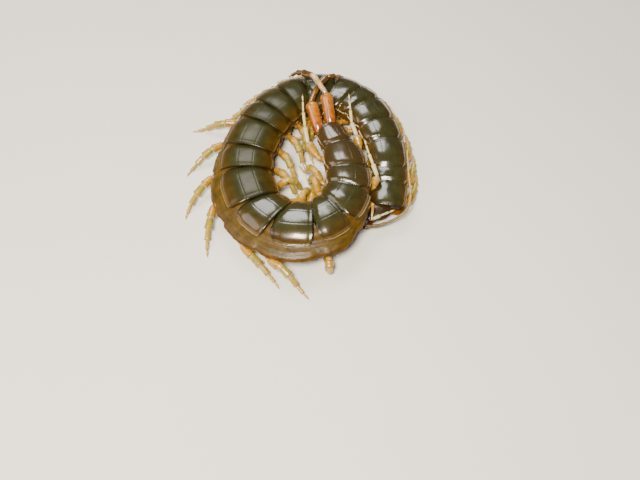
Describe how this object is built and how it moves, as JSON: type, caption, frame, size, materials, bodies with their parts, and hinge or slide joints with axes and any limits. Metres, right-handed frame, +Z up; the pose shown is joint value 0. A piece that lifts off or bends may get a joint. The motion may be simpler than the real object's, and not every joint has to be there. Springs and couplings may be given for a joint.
{
  "type": "giant centipede",
  "caption": "Giant centipede lying in a loose coil: flat plated trunk, jointed walking legs, head tucked in beside the coil, antennae, and hindmost legs crossed over the back.",
  "frame": {"origin": "middle of the bounding box in plan, on the floor that the animal rests on", "axes": "+Z up from the floor; +X to the right and +Y away from the viewer in the reference picture, so the first trunk segments lie at +X and the coil runs counter-clockwise seen from above"},
  "size_m": [0.0774, 0.0948, 0.0174],
  "materials": {
    "plates": "glossy dark olive cuticle",
    "head": "glossy dark brown cuticle",
    "forcipules": "glossy reddish brown cuticle",
    "antennae": "satin pale straw cuticle",
    "legs": "glossy amber cuticle",
    "terminal_legs": "glossy rust brown cuticle"
  },
  "bodies": {
    "root": {"head": "head", "forcipule_base": "forcipules", "forcipule_left": "forcipules", "forcipule_right": "forcipules", "antenna_left": "antennae", "antenna_right": "antennae", "trunk_01_03": "plates", "trunk_04_06": "plates", "trunk_07_09": "plates", "trunk_10_12": "plates", "trunk_13_15": "plates", "trunk_16_18": "plates", "trunk_19_21": "plates", "leg_01_left": "legs", "leg_01_right": "legs", "leg_02_left": "legs", "leg_02_right": "legs", "leg_03_left": "legs", "leg_03_right": "legs", "leg_04_left": "legs", "leg_04_right": "legs", "leg_05_left": "legs", "leg_05_right": "legs", "leg_06_left": "legs", "leg_06_right": "legs", "leg_07_left": "legs", "leg_07_right": "legs", "leg_08_left": "legs", "leg_08_right": "legs", "leg_09_left": "legs", "leg_09_right": "legs", "leg_10_left": "legs", "leg_10_right": "legs", "leg_11_left": "legs", "leg_11_right": "legs", "leg_12_left": "legs", "leg_12_right": "legs", "leg_13_left": "legs", "leg_13_right": "legs", "leg_14_left": "legs", "leg_14_right": "legs", "leg_15_left": "legs", "leg_15_right": "legs", "leg_16_left": "legs", "leg_16_right": "legs", "leg_17_left": "legs", "leg_17_right": "legs", "leg_18_left": "legs", "leg_18_right": "legs", "leg_19_left": "legs", "leg_19_right": "legs", "leg_20_left": "legs", "leg_20_right": "legs", "terminal_leg_left": "terminal_legs", "terminal_leg_right": "terminal_legs"}
  },
  "joints": []
}
